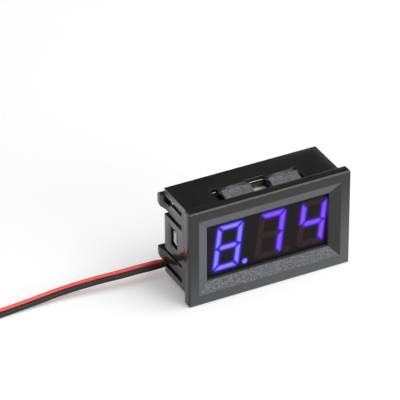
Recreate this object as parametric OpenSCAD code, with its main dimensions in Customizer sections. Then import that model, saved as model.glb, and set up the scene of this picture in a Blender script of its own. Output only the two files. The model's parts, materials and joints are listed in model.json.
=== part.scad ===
// Three-digit LED panel meter: a snap-in housing, its display, its circuit board and two connecting wires.
// All sizes are in millimetres. The meter stands upright on the lower edge of its flange, with the display
// facing -Y and +Z up. The origin is the middle of the meter's footprint, at the flange's lower edge.
// Depths are counted from the front of the flange, heights from its lower edge.

/* [Housing] */
// Room between the display's shell and the side walls
side_room = 2.55; // [2.3:0.05:3.4]
// Room between the display's shell and the top and bottom walls
edge_room = 2; // [1.9:0.05:2.9]
// Depth from the front of the flange to the rear edge of the walls
body_d = 17.1; // [16.5:0.1:19]
// Thickness of the walls
wall_t = 1.2; // [1:0.05:1.3]
// How far the flange reaches past the side walls
lip_side = 1.35; // [1:0.05:2]
// How far the flange reaches past the top and bottom walls
lip_edge = 1.4; // [1:0.05:2]
// Thickness of the flange
flange_t = 2.8; // [2.2:0.1:3.4]
// Radius of the flange's corners
flange_r = 0.6; // [0.4:0.1:1.5]
// Chamfer along the front edges of the flange
flange_chamfer = 0.3; // [0.1:0.05:0.4]

/* [Bezel] */
// Width of the flat rim beside the bevels
rim_side = 2.87; // [2:0.01:3.6]
// Width of the flat rim above and below the bevels
rim_edge = 3; // [2:0.1:3.6]
// How far the viewing opening stays inside the display's shell at each side
view_inset = 0.75; // [0.5:0.05:1.1]
// Height of the viewing opening
view_h = 16.7; // [15.5:0.1:18]
// Depth of the sloping bevels
bevel_d = 1.3; // [0.8:0.1:1.6]
// Depth of the straight edge behind the bevels
land_d = 1.2; // [0.8:0.1:1.4]

/* [Panel clips in the top and bottom walls] */
// Width of the cut-out that holds both clips
clip_slot_w = 25.2; // [24.6:0.1:27]
// Depth at which the cut-out starts
clip_slot_y = 4.4; // [3.8:0.1:5]
// Depth of the clips' roots, from which they point forwards
clip_root_y = 10.1; // [9.6:0.1:11]
// Width of a clip
clip_w = 8.6; // [7.6:0.1:9.2]
// Gap between the two clips
clip_gap = 5.4; // [4.4:0.1:6]
// Shift of both clips to the right
clip_shift = 0.45; // [0:0.05:0.6]
// Height of a clip's crest above the wall
clip_rise = 0.9; // [0.6:0.05:1.2]
// Length of the ramp from a clip's root up to its crest
clip_ramp = 2.4; // [1.8:0.1:3]
// Height of the crest above the front edge of a clip
clip_fall = 1; // [0.6:0.05:1.6]
// Gap between a clip's front edge and the cut-out
clip_play = 0.4; // [0.3:0.05:0.6]
// How far the cut-out reaches back beside the clips' roots
relief_d = 0.5; // [0.3:0.05:0.8]

/* [Side walls] */
// Depth at which the slots in the side walls start
side_slot_y = 7.2; // [6:0.1:8.5]
// Height of the middle panel, which springs over the circuit board's tab
spring_h = 10.8; // [10:0.05:11]
// Shift of the middle panel up from the middle
spring_z = -0.2; // [-0.2:0.05:0]
// Height of a lower snap arm
arm_h = 3.15; // [2.9:0.05:3.2]
// Height of an upper snap arm
upper_arm_h = 3; // [2.7:0.05:3.2]
// Height of the slot between the middle panel and the lower snap arm
low_slot = 0.9; // [0.85:0.05:1]
// Height of the slot between the middle panel and the upper snap arm
arm_slot = 1.5; // [1.2:0.05:1.6]
// Height of the slot above the upper snap arm
top_slot = 1.2; // [0.9:0.05:1.3]
// How far the snap arms reach past the rear edge of the walls
arm_past = 3.5; // [3:0.1:4.5]
// How far a snap arm's head stands out from the side wall
head_out = 0.5; // [0.3:0.05:0.8]
// Length of the ramp that leads up to a head
ramp_d = 1.8; // [1:0.1:2.2]
// How far the ramp starts in front of the walls' rear edge
ramp_lead = 0.6; // [0.3:0.1:0.9]
// Bevel on the rear end of a head
head_bevel = 0.4; // [0.2:0.05:0.6]
// How far a head reaches inwards past the wall's inner face
head_in = 1.2; // [0.8:0.1:1.4]
// Radius of a head's lower rear corner
head_r = 1.8; // [1.2:0.1:2]
// Radius of the lower head's upper rear corner
low_head_r = 0.6; // [0.3:0.1:0.8]
// Radius of the upper head's upper rear corner
high_head_r = 1.5; // [0.8:0.1:1.6]
// How far the upper head rises above its arm
head_rise = 0.75; // [0.5:0.05:0.9]
// Depth of the notch in the upper arm in front of its head
arm_notch_d = 3.4; // [2.5:0.1:4]
// Height of that notch
arm_notch_h = 0.8; // [0.5:0.05:1]

/* [Display] */
// Thickness of the tinted film in front of the digits
film_t = 0.2; // [0.1:0.05:0.4]
// How far the film reaches past the viewing opening at each side
film_side = 0.55; // [0.3:0.05:0.6]
// How far the film reaches past the viewing opening above and below
film_edge = 0.95; // [0.5:0.05:1.1]
// Height of the display's shell
shell_h = 19.8; // [19:0.1:20.2]
// Depth of the display's shell
shell_d = 7.5; // [7.2:0.1:8.1]
// Wall of the display's shell beside its rear pocket
shell_wall = 0.9; // [0.7:0.05:1.1]
// Depth of the light wells behind the segments
well_d = 5.2; // [4.6:0.1:5.4]
// Shift of the display to the right
display_x = 0.6; // [0:0.1:1]
// Shift of the display up from the middle
display_z = 0.1; // [-0.4:0.05:0.4]

/* [Digits] */
// Height of a digit
digit_h = 13.8; // [13:0.1:14.2]
// Width of a digit
digit_w = 7.9; // [7.5:0.1:8.2]
// Distance from one digit to the next, which is a third of the shell's width
digit_pitch = 12.6; // [12.2:0.1:12.8]
// Shift of the digits to the right of the display's middle
digits_x = 0.65; // [0:0.05:0.8]
// Shift of the digits up from the display's middle
digits_z = -0.25; // [-0.4:0.05:0.2]
// Slant of the digits in degrees
slant = 7; // [0:0.5:10]
// Width of a segment
segment_w = 1.7; // [1.4:0.1:1.9]
// Gap between neighbouring segments
segment_gap = 0.25; // [0.15:0.05:0.4]
// Chamfer on the digits' outer corners
digit_chamfer = 0.7; // [0.4:0.1:1]
// Radius of a decimal point
point_r = 0.87; // [0.6:0.01:0.9]
// Distance from a digit's middle to its decimal point
point_x = 5; // [4.8:0.1:5.4]
// Height of the decimal points above the digits' lower edge
point_z = 0.75; // [0.6:0.05:1]

/* [Display parts] */
// Thickness of the LED board
led_board_t = 1; // [0.6:0.1:1.2]
// Gap between the LED board and the shell
led_board_gap = 0.2; // [0.1:0.05:0.4]
// Thickness of the casting resin between the LED board and the wells
resin_front = 0.3; // [0.2:0.05:0.5]
// How far the resin stays below the shell's rear edge
resin_inset = 0.1; // [0.05:0.05:0.3]
// Side of an LED chip
chip_side = 0.35; // [0.2:0.05:0.5]
// Thickness of an LED chip
chip_t = 0.15; // [0.1:0.05:0.2]
// Diameter of a display pin
pin_d = 0.5; // [0.4:0.05:0.6]
// Pitch of the display pins
pin_pitch = 2.54; // [2:0.01:3]
// Pins in each row
pin_count = 6; // [4:1:6]
// Distance of each row of pins from the LED board's edge
pin_row_in = 1.18; // [0.9:0.01:1.8]
// How far the pins stand out behind the circuit board
pin_past = 1.9; // [1.4:0.1:2.2]

/* [Circuit board] */
// Thickness of the circuit board
board_t = 1.6; // [1:0.1:2]
// Gap between the circuit board and the top and bottom walls
board_edge_gap = 0.9; // [0.4:0.1:1.2]
// Gap between the circuit board and the side walls
board_gap = 0.2; // [0.1:0.05:0.4]
// Height of the side tabs
tab_h = 3.4; // [3:0.1:4]
// Height of the tabs' middle above the middle of the board
tab_z = 0.95; // [0.5:0.05:1]
// How far a tab stays inside the outer face of the side wall
tab_inset = 0.1; // [0.05:0.05:0.3]
// Gap between a tab and its window, in front
window_front = 0.5; // [0.2:0.1:0.8]
// Gap between a tab and its window, behind
window_back = 1.5; // [0.8:0.1:1.8]
// Gap between a tab and its window, above
window_above = 0.4; // [0.2:0.05:0.6]
// Gap between a tab and its window, below
window_below = 1.65; // [1.2:0.05:1.9]
// Diameter of the holes for the display pins
pin_hole_d = 0.9; // [0.8:0.05:1]
// Diameter of the holes for the wires' cores
core_hole_d = 1; // [0.8:0.05:1.2]
// Height of a solder joint on a pin
pin_solder_h = 1; // [0.6:0.1:1.3]
// Radius of a pin's solder joint at the board
pin_solder_r = 0.75; // [0.6:0.05:0.9]
// Height of a wire's solder joint
wire_solder_h = 0.8; // [0.6:0.1:0.8]
// Radius of a wire's solder joint at the board
wire_solder_r = 1.2; // [0.9:0.05:1.4]
// Thickness of a solder joint at its top
solder_rim = 0.1; // [0.05:0.05:0.2]

/* [Parts behind the board] */
// Length of the controller chip
controller_l = 9.9; // [9:0.1:10.3]
// Width of the controller chip
controller_w = 3.9; // [3.7:0.1:4.2]
// Height of the controller chip's moulding
controller_h = 1.4; // [1.2:0.1:1.6]
// Gap below the controller chip
controller_lift = 0.15; // [0.05:0.05:0.25]
// Distance across the controller chip's leads
controller_span = 6; // [5.8:0.1:6.2]
// Pitch of the controller chip's leads
lead_pitch = 1.27; // [1.1:0.01:1.27]
// Width of a controller lead
lead_w = 0.41; // [0.3:0.01:0.5]
// Thickness of the controller leads
lead_t = 0.2; // [0.15:0.01:0.25]
// Length of the flat foot of a controller lead
foot_l = 0.55; // [0.4:0.05:0.7]
// Length of the voltage regulator across its leads' row
regulator_l = 4.5; // [4.3:0.1:4.7]
// Width of the voltage regulator
regulator_w = 2.5; // [2.3:0.1:2.7]
// Height of the voltage regulator
regulator_h = 1.5; // [1.3:0.1:1.7]
// How far the regulator's leads stand out
regulator_reach = 0.85; // [0.6:0.05:1]
// Thickness of the regulator's leads
regulator_lead_t = 0.4; // [0.3:0.05:0.5]
// Width of the regulator's leads
regulator_lead_w = 0.45; // [0.35:0.05:0.5]
// Pitch of the regulator's leads
regulator_pitch = 1.5; // [1.4:0.05:1.6]
// Width of the regulator's cooling tab
regulator_tab_w = 1.8; // [1.5:0.1:2]
// Length of the protection diode
diode_l = 4.3; // [4:0.1:4.6]
// Width of the protection diode
diode_w = 2.6; // [2.4:0.1:2.8]
// Height of the protection diode
diode_h = 2; // [1.8:0.1:2.2]
// Width of the protection diode's terminals
diode_strap_w = 1.6; // [1.4:0.1:2.2]
// Length of the filter capacitor
filter_l = 3.5; // [3.2:0.1:3.8]
// Width of the filter capacitor
filter_w = 2.8; // [2.6:0.1:3]
// Height of the filter capacitor
filter_h = 1.7; // [1.5:0.1:2]
// Width of the filter capacitor's terminals
filter_strap_w = 2.2; // [1.8:0.1:2.4]
// Thickness of the bent terminals of the diode and the filter capacitor
strap_t = 0.2; // [0.15:0.05:0.3]
// How far the bent terminals reach under the diode and the filter capacitor
strap_under = 0.9; // [0.6:0.1:1.2]
// Length of a small resistor
resistor_l = 1.6; // [1.4:0.1:1.8]
// Width of a small resistor
resistor_w = 0.8; // [0.7:0.1:1]
// Height of all resistors
resistor_h = 0.5; // [0.4:0.05:0.6]
// Distance from one small resistor to the next
small_pitch = 2; // [1.6:0.1:2.2]
// Distance from one large resistor to the next
large_pitch = 2.5; // [2:0.1:2.8]
// Length of a ceramic capacitor or a large resistor
ceramic_l = 2; // [1.8:0.1:2.2]
// Width of a ceramic capacitor or a large resistor
ceramic_w = 1.25; // [1.1:0.05:1.4]
// Height of a ceramic capacitor
ceramic_h = 0.9; // [0.8:0.05:1.1]
// Distance of the regulator and the diode from the board's left edge
regulator_in = 8.25; // [7.8:0.05:8.6]
// Distance of the filter capacitor from the board's left edge
filter_in = 3.05; // [2.8:0.05:3.4]
// Distance of the outer ceramic capacitors from the board's right edge
ceramic_in = 2.65; // [2.2:0.05:3]
// Distance of the large resistors from the board's right edge
large_in = 13.05; // [12.6:0.05:13.4]
// Distance of the small resistors from the board's upper edge
small_in = 1.4; // [1.1:0.05:1.6]

/* [Trimmer] */
// Side of the square trimmer base
trimmer_side = 4; // [3.8:0.1:4.4]
// Height of the trimmer base
trimmer_h = 1.3; // [1.1:0.1:1.6]
// Distance of the trimmer from the board's right edge
trimmer_in = 7.25; // [6.8:0.05:7.6]
// Floor of the trimmer base below the rotor's shaft
trimmer_floor = 0.3; // [0.2:0.05:0.5]
// Diameter of the rotor's disc
rotor_d = 3.4; // [3:0.1:3.6]
// Thickness of the rotor's disc
rotor_t = 0.5; // [0.4:0.05:0.7]
// Diameter of the rotor's shaft
rotor_shaft_d = 1.2; // [1:0.05:1.4]
// Running gap round the rotor's shaft
rotor_gap = 0.04; // [0.03:0.01:0.08]
// Width of the screwdriver slot
rotor_slot_w = 0.5; // [0.4:0.05:0.6]
// Depth of the screwdriver slot
rotor_slot_d = 0.3; // [0.2:0.05:0.3]
// Width of a trimmer terminal
terminal_w = 0.8; // [0.6:0.1:1]
// Thickness of a trimmer terminal
terminal_t = 0.15; // [0.1:0.05:0.2]
// How far a trimmer terminal stands out
terminal_reach = 0.7; // [0.5:0.1:0.9]

/* [Wires] */
// Diameter of a wire over its insulation
wire_d = 1.4; // [1.2:0.05:1.4]
// Play of the wires in the slot below the lower arm
wire_play = 0.15; // [0.1:0.05:0.3]
// Mean radius of the two flat coils
coil_r = 7.7; // [7.4:0.1:8]
// Distance from one turn of a coil to the next
turn_pitch = 1.43; // [1.42:0.01:1.5]
// Diameter of a stripped and tinned wire end
tip_d = 0.7; // [0.5:0.05:0.8]
// Length of a stripped and tinned wire end
tip_l = 4.5; // [3:0.5:5]

/* [Hidden] */
$fn = 48;

// Overshoot of the cutting shapes past the faces they open
cut = 1;
// Overlap of shapes that are joined
lap = 0.25;

// Width of the display's shell, and sizes of the housing and its opening round it
shell_w = 3 * digit_pitch;
body_w = shell_w + 2 * (side_room + wall_t);
body_h = shell_h + 2 * (edge_room + wall_t);
view_w = shell_w - 2 * view_inset;

// Outer sizes of the flange and of the whole meter
flange_w = body_w + 2 * lip_side;
flange_h = body_h + 2 * lip_edge;
overall_d = body_d + arm_past;
mid_z = flange_h / 2;

// Hollow inside the walls
cavity_w = body_w - 2 * wall_t;
cavity_h = body_h - 2 * wall_t;
front_wall = bevel_d + land_d;

// Layers of the display, from the film back to the circuit board
shell_y = front_wall + film_t;
well_back = shell_y + well_d;
led_board_y = well_back + resin_front;
board_y = shell_y + shell_d;
board_back = board_y + board_t;
pocket_w = shell_w - 2 * shell_wall;
pocket_h = shell_h - 2 * shell_wall;
led_board_w = pocket_w - 2 * led_board_gap;
led_board_h = pocket_h - 2 * led_board_gap;
pin_rows = led_board_h - 2 * pin_row_in;

// Middle of the display, and of its digits
show_z = mid_z + display_z;
row_x = display_x + digits_x;
row_z = show_z + digits_z;

// Heights of the slots and arms of the side walls, below and above the middle panel
spring_low = mid_z + spring_z - spring_h / 2;
spring_high = spring_low + spring_h;
arm_low_top = spring_low - low_slot;
arm_low = arm_low_top - arm_h;
wire_slot = wire_d + wire_play;
arm_high = spring_high + arm_slot;
arm_high_top = arm_high + upper_arm_h;

// Size of the circuit board without its side tabs
board_w = cavity_w - 2 * board_gap;
board_h = cavity_h - 2 * board_edge_gap;

// Places of the small parts, as distances from the middle of the circuit board
controller_at = [0.6, -0.1];
regulator_at = [regulator_in - board_w / 2, 3.2];
diode_at = [regulator_in - board_w / 2, -3.8];
filter_at = [filter_in - board_w / 2, 3.2];
trimmer_at = [board_w / 2 - trimmer_in, 0];
small_resistors_at = [for (i = [-3.5:3.5]) [controller_at.x + i * small_pitch, board_h / 2 - small_in]];
large_resistors_at = [for (i = [-1:1]) [board_w / 2 - large_in, i * large_pitch]];
ceramics_at = [[-6.6, 2.2], [-6.6, -2.2], [board_w / 2 - ceramic_in, 2.6], [board_w / 2 - ceramic_in, -2.6],
    [10, -8.6]];
red_pad = [-12, -8.9];
black_pad = [-15.5, -8.9];

// Routes of the wires from their solder joints to the coils, in the meter's own frame
red_route = [[-12, 2.3, 5.6], [-12, 3.8, 5.5], [-12.9, 5.6, 5.1], [-15.2, 6.8, 4.5], [-18.5, 7.3, 4.15],
    [-21.5, 7.4, 4.08], [-23.3, 7.4, 4.1], [-25, 7.4, 4.4], [-27.5, 7.3, 4.5], [-30.5, 7.5, 4.45],
    [-36, 8.1, 4.05], [-41.5, 9.05, 3.5], [-47, 9.85, 2.9], [-52.5, 10.45, 2.2], [-58, 10.55, 1.6],
    [-64, 10.55, 1.1], [-68, 10.4, 0.9], [-71, 10.15, 1.3], [-73.5, 9.75, 1.95], [-76, 9.7, 2.12],
    [-78.5, 9.67, 2.12]];
black_route = [[-15.5, 2.3, 5.6], [-15.5, 3.7, 5.5], [-16.5, 5, 5], [-18.6, 5.8, 4.4], [-21.5, 6, 4.08],
    [-23.3, 6, 4.08], [-25, 6, 4], [-27.5, 5.9, 4.1], [-30.5, 6.1, 4.1], [-36, 6.7, 3.75],
    [-41.5, 7.6, 3.3], [-47, 8.4, 2.7], [-52.5, 9, 2.05], [-58, 9.1, 1.45], [-64, 9.1, 0.95],
    [-68, 8.95, 0.75], [-71, 8.8, 0.7], [-73.5, 9.05, 0.7], [-76, 9.4, 0.7], [-78.5, 9.67, 0.7]];

// Middle of both coils, turns in each, lift of the red coil onto the black one and turn of the bare ends
coil_at = [-79, 18.8];
coil_turns = 2;
coil_lift = wire_d + 0.02;
coil_half = coil_turns * turn_pitch / 2;
tip_turn = 35;
tube_sides = 8;

// Colours
black_plastic = "#2b2b2b";
board_green = "#2f4a34";
tin = "#c8c8c8";
black_epoxy = "#1b1b1b";

// ---------------------------------------------------------------- helpers

// Shifts depths counted from the flange's front to the meter's own frame
module meter() {
    translate([0, -overall_d / 2, 0]) children();
}

// Prism between two depths from an outline drawn in x and z
module through_y(y0, y1) {
    translate([0, y1, 0]) rotate([90, 0, 0]) linear_extrude(y1 - y0) children();
}

// Prism between two widths from an outline drawn in y and z
module through_x(x0, x1) {
    translate([x0, 0, 0]) rotate([90, 0, 90]) linear_extrude(x1 - x0) children();
}

// Box from its least to its greatest corner
module box(low, high) {
    translate(low) cube(high - low);
}

// Copies the shape into the lower half as well
module both_edges() {
    children();
    translate([0, 0, 2 * mid_z]) mirror([0, 0, 1]) children();
}

// Copies the shape to the left side as well
module both_sides() {
    children();
    mirror([1, 0, 0]) children();
}

// Places a part on the rear face of the circuit board: x to the right and y up as seen from
// behind, and z away from the board
module on_board(at) {
    translate([at.x, board_back, mid_z + at.y]) rotate([90, 0, 180]) children();
}

// Block centred in x and y that stands on z = lift
module block(l, w, h, lift = 0) {
    translate([-l / 2, -w / 2, lift]) cube([l, w, h]);
}

// Points of an arc from one angle to another
function arc(centre, r, from, to, steps = 6) =
    [for (i = [0:steps]) let (a = from + (to - from) * i / steps) centre + r * [cos(a), sin(a)]];

// ---------------------------------------------------------------- housing

// Rectangle with round corners, centred
module rounded_plate(w, h, r) {
    square([w - 2 * r, h], center = true);
    square([w, h - 2 * r], center = true);
    for (x = [-1, 1], y = [-1, 1]) translate([x * (w / 2 - r), y * (h / 2 - r)]) circle(r);
}

// Front flange with round corners and chamfered front edges
module flange() {
    c = flange_chamfer;
    side = flange_w / 2;
    intersection() {
        through_y(0, flange_t) translate([0, mid_z]) rounded_plate(flange_w, flange_h, flange_r);
        through_x(-side, side) polygon([[0, c], [c, 0], [flange_t, 0], [flange_t, flange_h],
            [c, flange_h], [0, flange_h - c]]);
        linear_extrude(flange_h) polygon([[c - side, 0], [side - c, 0], [side, c], [side, flange_t],
            [-side, flange_t], [-side, c]]);
    }
}

// Outline that narrows from a front half size to a rear half size over the bevels' depth
function funnel(front, rear) =
    [[-front, -cut], [front, -cut], [front, 0], [rear, bevel_d], [-rear, bevel_d], [-front, 0]];

// Viewing opening: four bevels that meet at mitred corners, then a straight edge
module view_opening() {
    front_x = flange_w / 2 - rim_side;
    front_z = flange_h / 2 - rim_edge;
    intersection() {
        linear_extrude(flange_h) polygon(funnel(front_x, view_w / 2));
        through_x(-front_x, front_x) polygon([for (p = funnel(front_z, view_h / 2)) [p.y, mid_z + p.x]]);
    }
    box([-view_w / 2, bevel_d - lap, mid_z - view_h / 2],
        [view_w / 2, front_wall + cut, mid_z + view_h / 2]);
}

// Cut-out in the top wall, which frees the clips in front and at their sides
module clip_slot() {
    side = clip_slot_w / 2;
    box([-side, clip_slot_y, mid_z + cavity_h / 2 - cut],
        [side, clip_root_y + relief_d, mid_z + body_h / 2 + cut]);
}

// One panel clip of the top wall: from its root it ramps up forwards to a crest, then its front face
// slopes back down, so that it wedges a panel against the flange
module clip() {
    top = mid_z + body_h / 2;
    tip = clip_slot_y + clip_play;
    rear = clip_root_y + relief_d + lap;
    through_x(-clip_w / 2, clip_w / 2) polygon([[rear, top - wall_t], [rear, top], [clip_root_y, top],
        [clip_root_y - clip_ramp, top + clip_rise], [tip, top + clip_rise - clip_fall],
        [tip, top - wall_t]]);
}

// Slots in the right side wall, all open to the rear
module side_slots() {
    inner = cavity_w / 2 - cut;
    outer = body_w / 2 + cut;
    slots = [[arm_low - wire_slot, arm_low], [arm_low_top, spring_low], [spring_high, arm_high],
        [arm_high_top, arm_high_top + top_slot]];
    for (s = slots) box([inner, side_slot_y, s[0]], [outer, body_d + cut, s[1]]);
    box([inner, body_d - arm_notch_d, arm_high_top - arm_notch_h],
        [outer, body_d + cut, arm_high_top + lap]);
}

// Window in the right middle panel, which the circuit board's tab springs into
module tab_window() {
    middle = mid_z + tab_z;
    box([cavity_w / 2 - cut, board_y - window_front, middle - tab_h / 2 - window_below],
        [body_w / 2 + cut, board_back + window_back, middle + tab_h / 2 + window_above]);
}

// Head of a right snap arm between two heights, with a neck below neck_top that joins it to its arm.
// The plan gives the ramp that stands out from the side wall and the thickening behind its rear edge;
// the side view gives the round corners.
module snap_head(low, high, neck_top, top_r) {
    inner = cavity_w / 2;
    outer = body_w / 2;
    start = body_d - ramp_lead;
    end = overall_d;
    intersection() {
        through_x(inner - head_in, outer + head_out) polygon(concat([[start - lap, neck_top]],
            [[start - lap, low]], arc([end - head_r, low + head_r], head_r, -90, 0),
            arc([end - top_r, high - top_r], top_r, 0, 90), [[body_d, high], [body_d, neck_top]]));
        translate([0, 0, low]) linear_extrude(high - low) polygon([[inner, start - lap],
            [outer, start - lap], [outer, start], [outer + head_out, start + ramp_d],
            [outer + head_out, end - head_bevel], [outer + head_out - head_bevel, end],
            [inner - head_in, end], [inner - head_in, body_d], [inner, body_d]]);
    }
}

module housing() {
    color(black_plastic) meter() {
        difference() {
            union() {
                flange();
                box([-body_w / 2, flange_t / 2, mid_z - body_h / 2],
                    [body_w / 2, body_d, mid_z + body_h / 2]);
            }
            box([-cavity_w / 2, front_wall, mid_z - cavity_h / 2],
                [cavity_w / 2, body_d + cut, mid_z + cavity_h / 2]);
            view_opening();
            both_edges() clip_slot();
            both_sides() {
                side_slots();
                tab_window();
            }
        }
        both_edges() for (side = [-1, 1])
            translate([clip_shift + side * (clip_gap + clip_w) / 2, 0, 0]) clip();
        both_sides() {
            snap_head(arm_low, arm_low_top, arm_low_top, low_head_r);
            snap_head(arm_high, arm_high_top + head_rise, arm_high_top - arm_notch_h, high_head_r);
        }
    }
}

// ---------------------------------------------------------------- display

// Outlines of the seven segments round a digit's middle, before the slant: top, upper right and
// middle are written out and the other four are their mirror images
seg_x = digit_w / 2;
seg_z = digit_h / 2;
seg_in = segment_gap / sqrt(2);
half_c = digit_chamfer / 2;
top_segment = [[-seg_x + digit_chamfer + seg_in, seg_z], [seg_x - digit_chamfer - seg_in, seg_z],
    [seg_x - half_c - seg_in, seg_z - half_c], [seg_x - segment_w - seg_in, seg_z - segment_w],
    [-seg_x + segment_w + seg_in, seg_z - segment_w], [-seg_x + half_c + seg_in, seg_z - half_c]];
right_segment = [[seg_x, seg_z - digit_chamfer - seg_in], [seg_x, seg_in], [seg_x - segment_w / 2, seg_in],
    [seg_x - segment_w, segment_w / 2 + seg_in], [seg_x - segment_w, seg_z - segment_w - seg_in],
    [seg_x - half_c, seg_z - half_c - seg_in]];
middle_end = seg_x - segment_w / 2 - seg_in;
middle_flat = seg_x - segment_w - seg_in;
middle_segment = [[-middle_end, 0], [-middle_flat, segment_w / 2], [middle_flat, segment_w / 2],
    [middle_end, 0], [middle_flat, -segment_w / 2], [-middle_flat, -segment_w / 2]];
segments = [top_segment, right_segment, flip(right_segment, 1, -1), flip(top_segment, 1, -1),
    flip(right_segment, -1, -1), flip(right_segment, -1, 1), middle_segment];

function flip(points, sx, sz) = [for (p = points) [sx * p.x, sz * p.y]];
function slanted(p) = [p.x + p.y * tan(slant), p.y];
function mean(points) = [for (p = points) 1] * points / len(points);

// Middles of the three digits and of the two decimal points
digit_middles = [for (i = [-1:1]) [row_x + i * digit_pitch, row_z]];
point_middles = [for (i = [0:1]) digit_middles[i] + [point_x, point_z - digit_h / 2]];

// All segments and decimal points, drawn in x and z
module segment_outlines() {
    for (middle = digit_middles, s = segments) polygon([for (p = s) middle + slanted(p)]);
    for (middle = point_middles) translate(middle) circle(point_r);
}

// Middles of all segments and decimal points
led_middles = concat([for (middle = digit_middles, s = segments) middle + slanted(mean(s))], point_middles);

// Box round the display's middle between two depths
module display_box(w, h, y0, y1) {
    box([display_x - w / 2, y0, show_z - h / 2], [display_x + w / 2, y1, show_z + h / 2]);
}

module display_film() {
    color("#3a2f2e") meter() box([-view_w / 2 - film_side, front_wall, mid_z - view_h / 2 - film_edge],
        [view_w / 2 + film_side, front_wall + film_t, mid_z + view_h / 2 + film_edge]);
}

module display_shell() {
    color("#d8d6d0") meter() difference() {
        display_box(shell_w, shell_h, shell_y, board_y);
        through_y(shell_y - cut, well_back + cut) segment_outlines();
        display_box(pocket_w, pocket_h, well_back, board_y + cut);
    }
}

// LED board's own outline between two depths
module led_board_block(y0, y1) {
    display_box(led_board_w, led_board_h, y0, y1);
}

// Resin cast into the wells and round the LED board
module display_epoxy() {
    color("#8f88a8") meter() difference() {
        union() {
            through_y(shell_y, well_back + resin_front / 2) segment_outlines();
            display_box(pocket_w, pocket_h, well_back, board_y - resin_inset);
        }
        led_board_block(led_board_y, led_board_y + led_board_t);
        chip_blocks();
        pin_rods(led_board_y, board_y + cut);
    }
}

module led_board() {
    color("#3d6b45") meter() difference() {
        led_board_block(led_board_y, led_board_y + led_board_t);
        pin_rods(led_board_y - cut, board_y + cut);
    }
}

// One LED chip behind the middle of each segment and decimal point
module chip_blocks() {
    half = chip_side / 2;
    for (p = led_middles)
        box([p.x - half, led_board_y - chip_t, p.y - half], [p.x + half, led_board_y, p.y + half]);
}

module led_chips() {
    color("#9aa6ff") meter() chip_blocks();
}

// Places of the display pins in x and z
pin_places = [for (row = [-1, 1], i = [0:pin_count - 1])
    [display_x + (i - (pin_count - 1) / 2) * pin_pitch, show_z + row * pin_rows / 2]];

// Round rods on the places of the pins between two depths
module pin_rods(y0, y1, d = pin_d) {
    for (p = pin_places) translate([p.x, y1, p.y]) rotate([90, 0, 0]) cylinder(h = y1 - y0, d = d);
}

module display_pins() {
    color(tin) meter() pin_rods(led_board_y, board_back + pin_past);
}

// ---------------------------------------------------------------- circuit board

tab_end = body_w / 2 - tab_inset;

module circuit_board() {
    color(board_green) meter() difference() {
        union() {
            box([-board_w / 2, board_y, mid_z - board_h / 2],
                [board_w / 2, board_back, mid_z + board_h / 2]);
            box([-tab_end, board_y, mid_z + tab_z - tab_h / 2],
                [tab_end, board_back, mid_z + tab_z + tab_h / 2]);
        }
        pin_rods(board_y - cut, board_back + cut, pin_hole_d);
        for (pad = [red_pad, black_pad]) on_board(pad)
            translate([0, 0, -board_t - cut]) cylinder(h = board_t + 2 * cut, d = core_hole_d);
    }
}

module pin_solder() {
    color(tin) meter() difference() {
        union() {
            pin_rods(board_y, board_back, pin_hole_d);
            for (p = pin_places) translate([p.x, board_back, p.y]) rotate([-90, 0, 0])
                cylinder(h = pin_solder_h, r1 = pin_solder_r, r2 = pin_d / 2 + solder_rim);
        }
        pin_rods(board_y - cut, board_back + pin_solder_h + cut);
    }
}

module wire_solder() {
    color(tin) meter() for (pad = [red_pad, black_pad]) on_board(pad) {
        translate([0, 0, -board_t]) cylinder(h = board_t + wire_solder_h / 2, d = core_hole_d);
        cylinder(h = wire_solder_h, r1 = wire_solder_r, r2 = wire_d / 2 + solder_rim);
    }
}

// ---------------------------------------------------------------- parts behind the board

// One bent lead on the far side of the controller chip: out of the moulding, down and out again
module gull_lead() {
    end = controller_span / 2;
    knee = (controller_w / 2 + end) / 2;
    mid = controller_lift + controller_h / 2;
    foot = end - foot_l;
    translate([-lead_w / 2, 0, 0]) rotate([90, 0, 90]) linear_extrude(lead_w) polygon([
        [controller_w / 2, mid - lead_t / 2], [knee - lead_t, mid - lead_t / 2], [foot, 0], [end, 0],
        [end, lead_t], [foot + lead_t / 2, lead_t], [knee, mid + lead_t / 2],
        [controller_w / 2, mid + lead_t / 2]]);
}

module controller_chip() {
    color(black_epoxy) meter() on_board(controller_at)
        block(controller_l, controller_w, controller_h, controller_lift);
}

module controller_leads() {
    color(tin) meter() on_board(controller_at) for (side = [0, 180], i = [-3.5:3.5])
        rotate([0, 0, side]) translate([i * lead_pitch, 0, 0]) gull_lead();
}

// Leads of the regulator: two outer ones, and a middle one that widens into the cooling tab
module regulator_lead_shapes() {
    end = regulator_w / 2 + regulator_reach;
    narrow = regulator_lead_w / 2;
    tab = regulator_tab_w / 2;
    linear_extrude(regulator_lead_t) {
        for (x = [-regulator_pitch, regulator_pitch]) translate([x - narrow, -end])
            square([2 * narrow, regulator_reach + 2 * narrow]);
        polygon([[-narrow, -end], [narrow, -end], [narrow, -tab], [tab, -narrow], [tab, end], [-tab, end],
            [-tab, -narrow], [-narrow, -tab]]);
    }
}

module regulator_body() {
    color(black_epoxy) meter() on_board(regulator_at) difference() {
        block(regulator_l, regulator_w, regulator_h);
        regulator_lead_shapes();
    }
}

module regulator_leads() {
    color(tin) meter() on_board(regulator_at) regulator_lead_shapes();
}

// Two metal straps bent down the ends and under the moulding of a part of this length
module strap_pair(l, strap_w, top) {
    for (side = [0, 180]) rotate([0, 0, side]) translate([0, strap_w / 2, 0]) rotate([90, 0, 0])
        linear_extrude(strap_w) polygon([[l / 2 - strap_under, 0], [l / 2 + strap_t, 0],
            [l / 2 + strap_t, top], [l / 2, top], [l / 2, strap_t], [l / 2 - strap_under, strap_t]]);
}

module diode_body() {
    color(black_epoxy) meter() on_board(diode_at) block(diode_l, diode_w, diode_h, strap_t);
}

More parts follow.
